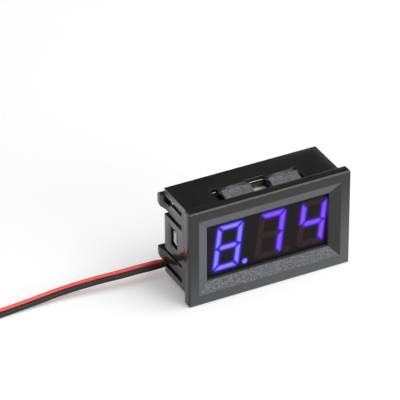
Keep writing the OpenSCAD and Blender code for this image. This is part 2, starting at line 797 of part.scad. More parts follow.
module diode_terminals() {
    color(tin) meter() on_board(diode_at) strap_pair(diode_l, diode_strap_w, strap_t + diode_h / 2);
}

module filter_capacitor() {
    color("#b5893a") meter() on_board(filter_at) block(filter_l, filter_w, filter_h, strap_t);
}

module filter_terminals() {
    color(tin) meter() on_board(filter_at) strap_pair(filter_l, filter_strap_w, strap_t + filter_h / 2);
}

// Eight small resistors for the segments and three larger ones for the measuring divider
module resistors() {
    color("#262a30") meter() {
        for (at = small_resistors_at) on_board(at) block(resistor_w, resistor_l, resistor_h);
        for (at = large_resistors_at) on_board(at) block(ceramic_l, ceramic_w, resistor_h);
    }
}

module ceramic_capacitors() {
    color("#a58a6a") meter() for (at = ceramics_at) on_board(at) block(ceramic_l, ceramic_w, ceramic_h);
}

// ---------------------------------------------------------------- trimmer

bore_d = rotor_shaft_d + 2 * rotor_gap;

module trimmer_base() {
    color("#d9d7cf") meter() on_board(trimmer_at) difference() {
        block(trimmer_side, trimmer_side, trimmer_h);
        translate([0, 0, trimmer_floor]) cylinder(h = trimmer_h, d = bore_d);
    }
}

// Three feet: two below the base and one above it
module trimmer_terminals() {
    side = trimmer_side / 2;
    foot_x = trimmer_side / 4;
    color(tin) meter() on_board(trimmer_at) for (foot = [[-foot_x, 180], [foot_x, 180], [0, 0]])
        rotate([0, 0, foot[1]]) translate([foot[0] - terminal_w / 2, 0, 0]) rotate([90, 0, 90])
            linear_extrude(terminal_w) polygon([[side, 0], [side + terminal_reach, 0],
                [side + terminal_reach, terminal_t], [side + terminal_t, terminal_t],
                [side + terminal_t, trimmer_h / 2], [side, trimmer_h / 2]]);
}

module trimmer_rotor() {
    color("#c9b98a") meter() on_board(trimmer_at) translate([0, 0, trimmer_floor + rotor_gap]) {
        cylinder(h = trimmer_h - trimmer_floor, d = rotor_shaft_d);
        translate([0, 0, trimmer_h - trimmer_floor]) difference() {
            cylinder(h = rotor_t, d = rotor_d);
            block(rotor_d - 2 * rotor_slot_w, rotor_slot_w, rotor_t, rotor_t - rotor_slot_d);
        }
    }
}

// ---------------------------------------------------------------- wires

function unit(v) = v / norm(v);

// Direction of a route at one of its points
function heading(route, i) = unit(route[min(i + 1, len(route) - 1)] - route[max(i - 1, 0)]);

// Ring of points round one point of a route, square to its direction
function ring(route, i) =
    let (t = heading(route, i), side = unit(cross(t, [0, 0, 1])), up = cross(side, t))
    [for (k = [0:tube_sides - 1]) let (a = 360 * (k + 0.5) / tube_sides)
        route[i] + wire_d / 2 * (cos(a) * side + sin(a) * up)];

// Tube swept along a route
module tube(route) {
    n = tube_sides;
    last = len(route) - 1;
    points = [for (i = [0:last]) each ring(route, i)];
    walls = [for (i = [0:last - 1], k = [0:n - 1])
        [i * n + k, i * n + (k + 1) % n, (i + 1) * n + (k + 1) % n, (i + 1) * n + k]];
    start = [for (k = [n - 1:-1:0]) k];
    end = [for (k = [0:n - 1]) last * n + k];
    polyhedron(points, concat(walls, [start, end]), convexity = 4);
}

// Flat coil as one solid ring that its turns fill
module coil_ring(z) {
    translate([coil_at.x, coil_at.y, z]) rotate_extrude()
        translate([coil_r - coil_half - wire_d / 2, 0]) square([2 * coil_half + wire_d, wire_d]);
}

// Stripped end, which leaves the innermost turn towards the middle of the coil
module bare_tip(z) {
    translate([coil_at.x, coil_at.y - coil_r + coil_half, z + wire_d / 2]) rotate([0, 90, 180 - tip_turn])
        cylinder(h = tip_l, d = tip_d);
}

module red_wire() {
    color("#d8342f") tube(red_route);
}

module black_wire() {
    color("#242424") tube(black_route);
}

module red_wire_coil() {
    color("#d8342f") coil_ring(coil_lift);
}

module black_wire_coil() {
    color("#242424") coil_ring(0);
}

module red_wire_tip() {
    color(tin) bare_tip(coil_lift);
}

module black_wire_tip() {
    color(tin) bare_tip(0);
}

// ---------------------------------------------------------------- assembly

housing();
display_film();
display_shell();
display_epoxy();
led_board();
led_chips();
display_pins();
circuit_board();
controller_chip();
controller_leads();
regulator_body();
regulator_leads();
diode_body();
diode_terminals();
filter_capacitor();
filter_terminals();
resistors();
ceramic_capacitors();
trimmer_base();
trimmer_terminals();
trimmer_rotor();
pin_solder();
wire_solder();
red_wire();
black_wire();
red_wire_coil();
black_wire_coil();
red_wire_tip();
black_wire_tip();
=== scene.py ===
# %% [markdown]
# # A three-digit LED panel meter
# A snap-in panel meter is a small black box behind a bevelled frame. Its display glows behind a dark
# film, its circuit board hides behind the display, and two thin wires bring power and the signal.
# The imported model gives every solid at its real size, so this script only dresses those solids. It adds
# what a solid model leaves plain: rounded edges, moulding texture, a tin finish on the solder, and wires
# that lie naturally.

# %% Load the imported model as a fixed frame
import json
import math
import bmesh
import bpy
import numpy as np
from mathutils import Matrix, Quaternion, Vector

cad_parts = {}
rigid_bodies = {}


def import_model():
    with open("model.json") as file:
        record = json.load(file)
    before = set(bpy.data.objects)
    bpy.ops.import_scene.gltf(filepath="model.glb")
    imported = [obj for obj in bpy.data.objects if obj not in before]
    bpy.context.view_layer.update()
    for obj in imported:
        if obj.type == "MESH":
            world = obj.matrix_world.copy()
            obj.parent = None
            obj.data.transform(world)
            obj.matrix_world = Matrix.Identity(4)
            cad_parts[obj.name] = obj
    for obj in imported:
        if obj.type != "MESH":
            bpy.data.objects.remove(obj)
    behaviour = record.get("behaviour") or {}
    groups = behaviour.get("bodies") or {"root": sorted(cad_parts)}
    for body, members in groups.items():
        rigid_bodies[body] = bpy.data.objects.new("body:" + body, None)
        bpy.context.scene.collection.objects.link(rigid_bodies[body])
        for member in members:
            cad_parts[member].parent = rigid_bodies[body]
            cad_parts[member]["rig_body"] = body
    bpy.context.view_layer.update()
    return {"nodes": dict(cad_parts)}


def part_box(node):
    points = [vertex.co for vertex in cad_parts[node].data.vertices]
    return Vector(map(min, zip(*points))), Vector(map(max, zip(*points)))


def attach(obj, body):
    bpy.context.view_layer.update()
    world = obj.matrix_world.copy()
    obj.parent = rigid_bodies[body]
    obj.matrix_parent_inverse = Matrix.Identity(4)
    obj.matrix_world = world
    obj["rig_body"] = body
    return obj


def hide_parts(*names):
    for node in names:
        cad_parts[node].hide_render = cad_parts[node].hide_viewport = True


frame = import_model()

nodes = frame["nodes"]
MM = 0.001

# %% [markdown]
# ## Camera
# A long lens keeps the meter's edges nearly parallel, as in a catalogue picture. The camera looks from
# the front left and from above. It is aimed a little to the left of the meter, because the wires run
# off on that side, and so it needs no lens shift.

# %% Camera
def direction(azimuth, elevation):
    """Unit vector from the object towards the camera. Azimuth 0 looks along +Y."""
    a, e = math.radians(azimuth), math.radians(elevation)
    return np.array([math.sin(a) * math.cos(e), -math.cos(a) * math.cos(e), math.sin(e)])


camera_data = bpy.data.cameras.new("camera")
camera = bpy.data.objects.new("camera", camera_data)
bpy.context.scene.collection.objects.link(camera)
bpy.context.scene.camera = camera
camera_aim = np.array([-11.5, 7.93, 19.84]) * MM
camera_distance = 0.882
camera_back = direction(-27.13, 32.57)
camera_data.lens = 299.6
camera_data.clip_start, camera_data.clip_end = 0.05, 20
camera.location = camera_aim + camera_distance * camera_back
camera.rotation_mode = "QUATERNION"
roll = Quaternion((0, 0, 1), math.radians(-0.18))
camera.rotation_quaternion = Vector(-camera_back).to_track_quat("-Z", "Y") @ roll
print("camera:", camera_data.lens, "mm lens,", camera_distance, "m away")

# %% [markdown]
# ## Surfaces from arrays
# Every new piece is a grid of points: one parameter runs along the piece and the other runs round it.
# The points come from a formula on whole arrays, and one helper turns any such grid into a mesh.

# %% Grid to mesh
def grid_faces(rows, columns, closed):
    """Quads between neighbouring rows; closed joins the last column to the first."""
    r, c = np.meshgrid(np.arange(rows - 1), np.arange(columns if closed else columns - 1), indexing="ij")
    after = (c + 1) % columns
    here, above = r * columns, (r + 1) * columns
    return np.stack([here + c, here + after, above + after, above + c], -1).reshape(-1, 4)


def make_piece(name, points, faces, body, smooth=True):
    """A mesh object from points in millimetres and lists of corners, riding on a body."""
    mesh = bpy.data.meshes.new(name)
    mesh.from_pydata((np.asarray(points, float) * MM).tolist(), [], [list(map(int, f)) for f in faces])
    mesh.validate()
    mesh.polygons.foreach_set("use_smooth", [smooth] * len(mesh.polygons))
    piece = bpy.data.objects.new(name, mesh)
    bpy.context.scene.collection.objects.link(piece)
    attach(piece, body)
    return piece


def swept(path, radius, sides, lobes=0, lobe_depth=0.0, twist=0.0):
    """Points of a tube: path + radius * (cos(angle) * side + sin(angle) * up), in rows along the path.
    side is square to the path and level, and up is square to both. radius holds one value a row. With
    lobes, the radius dips by lobe_depth between that many strands, which turn by twist radians a row."""
    path = np.asarray(path, float)
    ahead = np.gradient(path, axis=0)
    ahead /= np.linalg.norm(ahead, axis=1)[:, None]
    side = np.cross(ahead, [0.0, 0.0, 1.0])
    side /= np.linalg.norm(side, axis=1)[:, None]
    up = np.cross(side, ahead)
    angle = np.linspace(0, 2 * np.pi, sides, endpoint=False)[None, :]
    row = np.arange(len(path))[:, None]
    reach = np.broadcast_to(np.asarray(radius, float), (len(path),))[:, None] * np.ones_like(angle)
    if lobes:
        reach = reach * (1 - lobe_depth + lobe_depth * np.abs(np.cos(lobes * (angle + twist * row) / 2)))
    return path[:, None, :] + reach[..., None] * (
        np.cos(angle)[..., None] * side[:, None, :] + np.sin(angle)[..., None] * up[:, None, :])


def tube_faces(rows, sides):
    """Faces of a closed tube whose ends are single flat faces, all pointing outwards."""
    walls = grid_faces(rows, sides, closed=True)
    start = np.arange(sides)[::-1]
    end = (rows - 1) * sides + np.arange(sides)
    return [f[::-1] for f in walls.tolist()] + [start[::-1].tolist(), end[::-1].tolist()]


# %% [markdown]
# ## The two wires
# Each wire is a stranded lead in soft PVC, 1.4 mm thick. Red and black leave the meter side by side
# through the lowest slot of the left wall, droop onto the table and run off to the left. What is left
# of their length is wound into two flat turns, one coil on the other, beyond the left edge of the view.
# The route's points are listed and are the same as in the solid model. A Catmull-Rom curve runs
# smoothly through them, and the coil is a spiral given by a formula.

# %% Routes of the wires, in millimetres
WIRE_D = 1.4
red_route = [[-12, 2.3, 5.6], [-12, 3.8, 5.5], [-12.9, 5.6, 5.1], [-15.2, 6.8, 4.5], [-18.5, 7.3, 4.15],
             [-21.5, 7.4, 4.08], [-23.3, 7.4, 4.1], [-25, 7.4, 4.4], [-27.5, 7.3, 4.5], [-30.5, 7.5, 4.45],
             [-36, 8.1, 4.05], [-41.5, 9.05, 3.5], [-47, 9.85, 2.9], [-52.5, 10.45, 2.2], [-58, 10.55, 1.6],
             [-64, 10.55, 1.1], [-68, 10.4, 0.9], [-71, 10.15, 1.3], [-73.5, 9.75, 1.95], [-76, 9.7, 2.12]]
black_route = [[-15.5, 2.3, 5.6], [-15.5, 3.7, 5.5], [-16.5, 5, 5], [-18.6, 5.8, 4.4], [-21.5, 6, 4.08],
               [-23.3, 6, 4.08], [-25, 6, 4], [-27.5, 5.9, 4.1], [-30.5, 6.1, 4.1], [-36, 6.7, 3.75],
               [-41.5, 7.6, 3.3], [-47, 8.4, 2.7], [-52.5, 9, 2.05], [-58, 9.1, 1.45], [-64, 9.1, 0.95],
               [-68, 8.95, 0.75], [-71, 8.8, 0.7], [-73.5, 9.05, 0.7], [-76, 9.4, 0.7]]
COIL_AT = np.array([-79, 18.8])
COIL_R = 7.7
TURN_PITCH = 1.43
COIL_TURNS = 2
TIP_L = 4.5
TIP_D = 0.7
TIP_TURN = math.radians(35)


def coil(z, per_turn=40):
    """A flat spiral: the radius falls by one pitch a turn while the angle runs clockwise from the front."""
    t = np.linspace(0, COIL_TURNS, COIL_TURNS * per_turn + 1)
    radius = COIL_R + TURN_PITCH * (COIL_TURNS / 2 - t)
    angle = -math.pi / 2 - 2 * math.pi * t
    return np.stack([COIL_AT[0] + radius * np.cos(angle), COIL_AT[1] + radius * np.sin(angle),
                     np.full_like(t, z)], axis=1)


def smooth_route(points, step=0.45):
    """Catmull-Rom curve: between points b and c it blends a, b, c and d with the cubic weights
    (-t+2t2-t3, 2-5t2+3t3, t+4t2-3t3, -t2+t3)/2, then it is cut into equal steps."""
    p = np.asarray(points, float)
    p = np.vstack([2 * p[0] - p[1], p, 2 * p[-1] - p[-2]])
    t = np.linspace(0, 1, 24, endpoint=False)[:, None]
    a, b, c, d = p[:-3, None], p[1:-2, None], p[2:-1, None], p[3:, None]
    curve = ((-t + 2 * t**2 - t**3) * a + (2 - 5 * t**2 + 3 * t**3) * b
             + (t + 4 * t**2 - 3 * t**3) * c + (-t**2 + t**3) * d) / 2
    curve = np.vstack([curve.reshape(-1, 3), p[-2]])
    along = np.r_[0, np.cumsum(np.linalg.norm(np.diff(curve, axis=0), axis=1))]
    at = np.linspace(0, along[-1], int(along[-1] / step) + 1)
    return np.stack([np.interp(at, along, curve[:, k]) for k in range(3)], axis=1)


red_z, black_z = WIRE_D * 1.5 + 0.02, WIRE_D / 2
red_path = smooth_route(np.vstack([red_route, coil(red_z)]))
black_path = smooth_route(np.vstack([black_route, coil(black_z)]))


print("routes:", len(red_path), "points for red and", len(black_path), "for black")


# %% Wires, with softly rounded cut ends
def wire_piece(name, path, node, tip_node):
    """The insulation as a tube, and the twisted, tinned strands that come out of its far end."""
    radius = np.full(len(path), WIRE_D / 2)
    radius[[0, -1]] *= 0.93
    sides = 20
    wire = make_piece(name, swept(path, radius, sides).reshape(-1, 3), tube_faces(len(path), sides), "meter")
    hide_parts(node, node + "_coil")
    start, ahead = path[-1], path[-1] - path[-2]
    ahead = ahead / np.linalg.norm(ahead)
    bend = np.array([ahead[0] * math.cos(TIP_TURN) + ahead[1] * math.sin(TIP_TURN),
                     ahead[1] * math.cos(TIP_TURN) - ahead[0] * math.sin(TIP_TURN), 0])
    t = np.linspace(0, 1, 40)[:, None]
    tip = (1 - t) ** 2 * (start - 0.3 * ahead) + 2 * t * (1 - t) * (start + 1.2 * ahead) + t**2 * (
        start + TIP_L * bend)
    shape = np.full(40, TIP_D / 2)
    shape[-3:] *= [0.96, 0.8, 0.45]
    strands = make_piece(name + "_strands", swept(tip, shape, 42, lobes=7, lobe_depth=0.16, twist=0.09)
                         .reshape(-1, 3), tube_faces(40, 42), "meter")
    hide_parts(tip_node)
    return wire, strands


red_wire, red_strands = wire_piece("red_lead", red_path, "red_wire", "red_wire_tip")
black_wire, black_strands = wire_piece("black_lead", black_path, "black_wire", "black_wire_tip")

# %% [markdown]
# ## Shader maths as Python
# A finish is easier to read as a sum of masks than as a picture of a node tree. One small class wraps a
# value that changes over the surface, so that `1 - mask` adds a Math node. One method adds any other
# node from its type, its settings and its inputs.

# %% Values and finishes
class Val:
    """A number that changes over a surface. The operators on it add Math nodes."""

    def __init__(self, finish, socket):
        self.finish, self.socket = finish, socket

    def maths(self, operation, *inputs):
        return self.finish.node("ShaderNodeMath", {"operation": operation}, dict(enumerate(inputs)))

    def __add__(self, other):
        return self.maths("ADD", self, other)

    def __sub__(self, other):
        return self.maths("SUBTRACT", self, other)

    def __mul__(self, other):
        return self.maths("MULTIPLY", self, other)

    def __truediv__(self, other):
        return self.maths("DIVIDE", self, other)

    def __radd__(self, other):
        return self.maths("ADD", other, self)

    def __rsub__(self, other):
        return self.maths("SUBTRACT", other, self)

    def __rmul__(self, other):
        return self.maths("MULTIPLY", other, self)

    def __neg__(self):
        return self.maths("MULTIPLY", self, -1)

    def __abs__(self):
        return self.maths("ABSOLUTE", self)

    def above(self, other):
        return self.maths("GREATER_THAN", self, other)

    def least(self, other):
        return self.maths("MINIMUM", self, other)

    def most(self, other):
        return self.maths("MAXIMUM", self, other)

    def root(self):
        return self.maths("SQRT", self)

    def wrap(self, low, high):
        return self.maths("WRAP", self, high, low)

    def fade(self, start, end):
        """0 at start and 1 at end, or the other way round, with a smooth step between."""
        return self.finish.node("ShaderNodeMapRange", {"interpolation_type": "SMOOTHSTEP"},
                                {0: self, 1: start, 2: end, 3: 0.0, 4: 1.0})


# %% [markdown]
# A finish could be built by hand in the shader editor. Here one class holds the node tree of a material,
# adds any node from its settings and inputs, and links the results to the Principled shader's sockets.

# %% One material
class Finish:
    """One material: its tree, its Principled shader and its position on the object in millimetres."""

    def __init__(self, name, **constants):
        self.material = bpy.data.materials.new(name)
        self.material.use_nodes = True
        self.tree = self.material.node_tree
        self.shader = self.tree.nodes["Principled BSDF"]
        for socket, value in constants.items():
            self.shader.inputs[socket.replace("_", " ")].default_value = value
        place = self.node("ShaderNodeTexCoord", output="Object", raw=True)
        self.place = self.node("ShaderNodeVectorMath", {"operation": "SCALE"}, {0: place, "Scale": 1 / MM},
                               raw=True)
        parts = self.node("ShaderNodeSeparateXYZ", inputs={0: self.place}, raw=True).node
        self.x, self.y, self.z = (Val(self, parts.outputs[k]) for k in range(3))

    def node(self, kind, settings=None, inputs=None, output=0, raw=False):
        """Adds a node: its settings first, then a value or a link for each of its sockets."""
        made = self.tree.nodes.new(kind)
        for key, value in (settings or {}).items():
            setattr(made, key, value)
        for key, value in (inputs or {}).items():
            if isinstance(value, Val):
                value = value.socket
            if isinstance(value, bpy.types.NodeSocket):
                self.tree.links.new(value, made.inputs[key])
            else:
                made.inputs[key].default_value = value
        return made.outputs[output] if raw else Val(self, made.outputs[output])

    def stretched(self, scale):
        """The position with each axis scaled by its own factor, for grain that runs one way."""
        return self.node("ShaderNodeMapping", inputs={"Vector": self.place, "Scale": scale}, raw=True)

    def noise(self, scale, detail=3.0, roughness=0.5, vector=None):
        """Cloudy noise from 0 to 1; scale is in blobs a millimetre."""
        return self.node("ShaderNodeTexNoise", inputs={"Vector": self.place if vector is None else vector,
                         "Scale": scale, "Detail": detail, "Roughness": roughness})

    def mix(self, factor, low, high):
        """Blend of two colours; factor 0 gives low and 1 gives high."""
        blend = self.tree.nodes.new("ShaderNodeMix")
        blend.data_type = "RGBA"
        for socket, value in ((blend.inputs[0], factor), (blend.inputs[6], low), (blend.inputs[7], high)):
            value = value.socket if isinstance(value, Val) else value
            if isinstance(value, bpy.types.NodeSocket):
                self.tree.links.new(value, socket)
            else:
                socket.default_value = value
        return blend.outputs[2]

    def bump(self, height, depth):
        """Normal from a height from 0 to 1 that stands for this depth in millimetres."""
        return self.node("ShaderNodeBump", inputs={"Height": height, "Distance": depth * MM}, raw=True)

    def facing(self):
        """The three parts of the surface's own outward direction."""
        normal = self.node("ShaderNodeNewGeometry", output="Normal", raw=True)
        parts = self.node("ShaderNodeSeparateXYZ", inputs={0: normal}, raw=True).node
        return [Val(self, parts.outputs[k]) for k in range(3)]

    def paint(self, **links):
        """Links what varies over the surface to the shader's sockets."""
        for socket, value in links.items():
            value = value.socket if isinstance(value, Val) else value
            self.tree.links.new(value, self.shader.inputs[socket.replace("_", " ")])
        return self.material


# %% [markdown]
# Three small helpers: colours are picked as they look on a screen and made linear for the shader, a piece
# takes one finish, and a mask marks a band between two levels of a value.

# %% Colours, bands and dressing
def colour(r, g, b):
    """Linear colour from the 0 to 255 values in which colours are usually picked."""
    channels = [v / 255 for v in (r, g, b)]
    return tuple([v / 12.92 if v <= 0.04045 else ((v + 0.055) / 1.055) ** 2.4 for v in channels] + [1.0])


def dress(target, material):
    """Gives a piece or a CAD node one finish."""
    piece = nodes[target] if isinstance(target, str) else target
    piece.data.materials.clear()
    piece.data.materials.append(material)


def within(value, low, high, soft=0.02):
    """1 between two levels of a value and 0 outside, with a soft edge."""
    return value.fade(low - soft, low + soft) * value.fade(high + soft, high - soft)


print("a middle grey of 128 is", round(colour(128, 128, 128)[0], 3), "in linear light")


# %% [markdown]
# ## Rounded edges
# No moulded or sawn edge is perfectly sharp, and it is the thin highlight along an edge that makes a
# dark box readable. The solid model has sharp edges, so the housing and the larger parts get a welded
# copy with a small Bevel modifier. The copy stands for the solid, which stays as it is for collision.

# %% Welded copy with rounded edges
def softened(node, width, segments=2, weld=0.002, angle=28):
    """A copy of a CAD solid whose triangles are welded, whose flat faces are joined, and whose edges
    are rounded over this width in millimetres wherever two faces meet at more than the angle."""
    mesh = nodes[node].data.copy()
    work = bmesh.new()
    work.from_mesh(mesh)
    bmesh.ops.remove_doubles(work, verts=work.verts, dist=weld * MM)
    bmesh.ops.dissolve_limit(work, angle_limit=math.radians(1), verts=work.verts, edges=work.edges)
    for face in work.faces:
        face.smooth = True
    work.to_mesh(mesh)
    work.free()
    piece = bpy.data.objects.new(node + "_soft", mesh)
    bpy.context.scene.collection.objects.link(piece)
    bevel = piece.modifiers.new("rounded edges", "BEVEL")
    bevel.width = width * MM
    bevel.segments = segments
    bevel.limit_method = "ANGLE"
    bevel.angle_limit = math.radians(angle)
    bevel.use_clamp_overlap = False
    bevel.harden_normals = True
    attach(piece, nodes[node]["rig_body"])
    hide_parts(node)
    print(node, "gets", width, "mm edges on", len(mesh.polygons), "faces")
    return piece


# The bevels and the clips' slopes meet their neighbours at 19 degrees or more, and no arc steps by more
# than 15 degrees, so this limit keeps every real edge crisp and every round one smooth
SHALLOWEST_EDGE = 17
housing = softened("housing", 0.12, segments=2, weld=0.045, angle=SHALLOWEST_EDGE)

# %% [markdown]
# ## Black ABS
# The housing is moulded ABS. Most faces of its mould are polished, so the plastic is glossy and mirrors
# the table, with a trace of waviness. The lower bevel of the frame and the front faces of the four panel
# clips come from spark-eroded faces of the mould, whose fine pits are a bump here; their glitter is a
# painted highlight, pale specks in the colour. Both are told apart by where they lie and by which way
# they face, so no image is needed.
# A glossy black face mostly shows what it mirrors. Studio screens could be built for each face, but a few
# painted reflections are simpler: the flange is painted lighter towards its lower right, and so are the
# bevels that face right and down. These painted highlights belong to the colour and don't follow the lamps.

# %% Housing finish
HOUSING_LOW, HOUSING_HIGH = [np.array(v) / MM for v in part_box("housing")]
SHELL_LOW, SHELL_HIGH = [np.array(v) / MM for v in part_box("display_shell")]
BEVEL_D = 1.3
FRAME_D = 2.8
CLIP_FROM, CLIP_CREST, WALL_HALF = 4.6, 7.75, 12.9
# Slope and range of the painted sheen: the flange is painted lighter towards its lower right
PAINTED_SHEEN_TILT, PAINTED_SHEEN_START, PAINTED_SHEEN_END = 0.25, -24.0, 4.0


def black_abs():
    f = Finish("black ABS", Specular_IOR_Level=0.42)
    right, back, up = f.facing()
    front = HOUSING_LOW[1]
    bevels = within(f.y, front - 0.1, front + BEVEL_D + 0.2)
    lower_bevel = bevels * up.fade(0.2, 0.3) * up.fade(0.6, 0.5)
    # Bevels that face right or down get a painted reflection, a lighter tone
    painted_reflection_bevels = bevels * right.fade(0.15, 0.3).most(up.fade(-0.15, -0.3)) * back.fade(-0.2, -0.4)
    turned_away = bevels * right.fade(-0.15, -0.3)
    off_middle = abs(f.z - (HOUSING_LOW[2] + HOUSING_HIGH[2]) / 2)
    clip_front = (within(f.y, front + CLIP_FROM, front + CLIP_CREST) * back.fade(-0.1, -0.25)
                  * off_middle.fade(WALL_HALF - 0.1, WALL_HALF) * abs(up).fade(0.6, 0.8))
    eroded = lower_bevel.most(clip_front)
    grain = f.noise(2.5, 3.0, 0.75).fade(0.36, 0.66)
    height = f.noise(0.3, 1.0) * 0.12 + f.noise(9.0, 2.0) * 0.008 + eroded * grain * 1.5
    frame_front = f.y.fade(front + FRAME_D, front + FRAME_D - 0.5)
    # Painted sheen: a lighter tone over the flange's front towards its lower right, standing for mirrored
    # studio light
    painted_sheen = (f.x * PAINTED_SHEEN_TILT - f.z).fade(PAINTED_SHEEN_START, PAINTED_SHEEN_END) * frame_front * (1 - turned_away)
    tone = f.mix(f.noise(0.12, 2.0), colour(31, 32, 31), colour(38, 38, 37))
    tone = f.mix(painted_sheen, tone, colour(76, 78, 80))
    tone = f.mix(painted_reflection_bevels, tone, colour(76, 78, 81))
    # The pale specks on the eroded faces are painted glints; their bump is the real grain
    tone = f.mix(eroded, tone, f.mix(grain, colour(46, 47, 49), colour(116, 118, 122)))
    rough = 0.2 + 0.05 * f.noise(1.2, 3.0) + eroded * 0.2
    return f.paint(Base_Color=tone, Roughness=rough, Normal=f.bump(height, 0.03))


dress(housing, black_abs())
print("the housing's walls and flange lie between", HOUSING_LOW.round(1), "and", HOUSING_HIGH.round(1), "mm")

# %% [markdown]
# ## The display
# Three seven-segment digits sit behind a dark film. A segment is a well of clear resin with one light
# chip at its bottom, so a lit segment is pale in the middle, violet blue at its edge, and throws a faint
# halo into the film. The segments' outlines are straight lines, so the distance to a segment is the
# largest of the distances to its sides. Folding each digit about its middle needs only three outlines:
# the top bar, the upper right bar and the middle bar.

# %% Distances to the segments
DIGIT_H, DIGIT_W, DIGIT_PITCH, SLANT = 13.8, 7.9, 12.6, math.tan(math.radians(7))
SEGMENT_W, SEGMENT_GAP, DIGIT_CHAMFER = 1.7, 0.25, 0.7
POINT_R, POINT_X, POINT_Z = 0.87, 5.0, 0.75 - DIGIT_H / 2
POINT_FALL = 2.0
ROW_X = (SHELL_LOW[0] + SHELL_HIGH[0]) / 2 + 0.65
ROW_Z = (SHELL_LOW[2] + SHELL_HIGH[2]) / 2 - 0.25


def largest(*values):
    result = values[0]
    for v in values[1:]:
        result = result.most(v)
    return result


def smallest(*values):
    result = values[0]
    for v in values[1:]:
        result = result.least(v)
    return result


def segment_distances(f):
    """Distance in millimetres to the nearest segment, to the nearest lit one, and a mask that is 1 on the
    first digit.
    """
    w, h, t, g, c = DIGIT_W / 2, DIGIT_H / 2, SEGMENT_W, SEGMENT_GAP / math.sqrt(2), DIGIT_CHAMFER
    d = math.sqrt(0.5)
    v = f.z - ROW_Z
    across = f.x - ROW_X - v * SLANT
    u = across.wrap(-DIGIT_PITCH / 2, DIGIT_PITCH / 2)
    number = (across - u) / DIGIT_PITCH
    first, last = number.fade(-0.5, -0.6), number.fade(0.5, 0.6)
    right_half, upper_half = u.above(0.0), v.above(0.0)
    fold_u, fold_v = abs(u), abs(v)
    corner = (fold_u + fold_v - (w + h - c - g)) * d
    bar = largest(fold_v - h, (h - t) - fold_v, (fold_u - fold_v - (w - h - g)) * d, corner)
    side = largest(fold_u - w, (w - t) - fold_u, (fold_v - fold_u - (h - w - g)) * d, corner,
                   g - fold_v, ((w - t / 2 + g) - fold_u - fold_v) * d)
    middle = largest(fold_v - t / 2, (fold_u + fold_v - (w - t / 2 - g)) * d)
    points = []
    for k in (0, 1):
        px = f.x - (ROW_X + (k - 1) * DIGIT_PITCH + POINT_X)
        pz = f.z - (ROW_Z + POINT_Z)
        points.append((px * px + pz * pz).root() - POINT_R)
    bar_lit = upper_half * (1 - last) + (1 - upper_half) * first
    side_lit = right_half + (1 - right_half) * (first + upper_half * last)
    middle_lit = first + last
    far = 20.0
    lit = smallest(bar + (1 - bar_lit) * far, side + (1 - side_lit) * far, middle + (1 - middle_lit) * far,
                   points[0] * POINT_FALL)
    return smallest(bar, side, middle, *points), lit, first


print("digits are", DIGIT_H, "mm high, with their middle at a height of", round(float(ROW_Z), 2), "mm")


# %% Film, resin and moulding finishes
def glow(f):
    """Distance to the nearest segment, and the light of the lit ones: a pale core that fades through a
    blue edge into a short halo, which partly bridges the narrow gaps between neighbouring segments."""
    nearest, lit, first = segment_distances(f)
    core = lit.fade(-0.1, -0.6)
    body = lit.fade(0.24, -0.12)
    halo = lit.fade(1.3, 0.1)
    halo = halo * halo * 0.13
    edge_tone = f.mix(first, colour(78, 36, 222), colour(58, 40, 230))
    core_tone = f.mix(first, colour(130, 78, 248), colour(142, 132, 255))
    return nearest, f.mix(body, f.mix(halo, (0, 0, 0, 1), edge_tone), f.mix(core, edge_tone, core_tone))


def tinted_film():
    f = Finish("tinted film", Roughness=0.32, Specular_IOR_Level=0.09, Emission_Strength=1.0)
    nearest, light = glow(f)
    tone = f.mix(nearest.fade(0.1, -0.1), colour(23, 20, 20), colour(46, 32, 34))
    return f.paint(Base_Color=tone, Emission_Color=light, Normal=f.bump(f.noise(0.5, 2.0), 0.004))


dress("display_film", tinted_film())


def display_resin():
    f = Finish("cloudy resin", Roughness=0.25, Emission_Strength=1.0)
    light = glow(f)[1]
    cloud = f.noise(0.8, 3.0)
    front = f.y.fade(SHELL_LOW[1] + 0.3, SHELL_LOW[1])
    tone = f.mix(cloud, colour(150, 144, 168), colour(176, 172, 190))
    return f.paint(Base_Color=tone, Emission_Color=f.mix(front, (0, 0, 0, 1), light),
                   Normal=f.bump(f.noise(1.2, 2.0), 0.02))


dress("display_epoxy", display_resin())


PALE_PATCH_HALF = 3.4


def display_moulding():
    """White moulding whose front face is printed dark grey, so that unlit segments hardly show. The top is
    coloured the same dark grey, apart from a pale patch in the middle."""
    f = Finish("display moulding", Roughness=0.5)
    front = f.y.fade(SHELL_LOW[1] + 0.03, SHELL_LOW[1] + 0.01)
    top = f.z.fade(SHELL_HIGH[2] - 0.03, SHELL_HIGH[2] - 0.01) * abs(f.x).fade(PALE_PATCH_HALF, PALE_PATCH_HALF + 0.3)
    tone = f.mix(f.noise(0.4, 2.0), colour(196, 193, 186), colour(208, 205, 199))
    return f.paint(Base_Color=f.mix(front.most(top), tone, colour(58, 54, 54)),
                   Normal=f.bump(f.noise(5.0, 2.0), 0.008))


dress("display_shell", display_moulding())
print("the display is", round(float(SHELL_HIGH[0] - SHELL_LOW[0]), 1), "mm wide")

# %% [markdown]
# ## Circuit board
# The board is glass-fibre laminate under a green lacquer. Copper under the lacquer makes it paler, so
# the finish has wide copper fields with thin gaps between them and small through-plated holes. Its long
# edges are coloured dark green, and the sawn ends of the side tabs are pale in the windows of the walls.

# %% Board finishes
TAB_FROM = 21.0


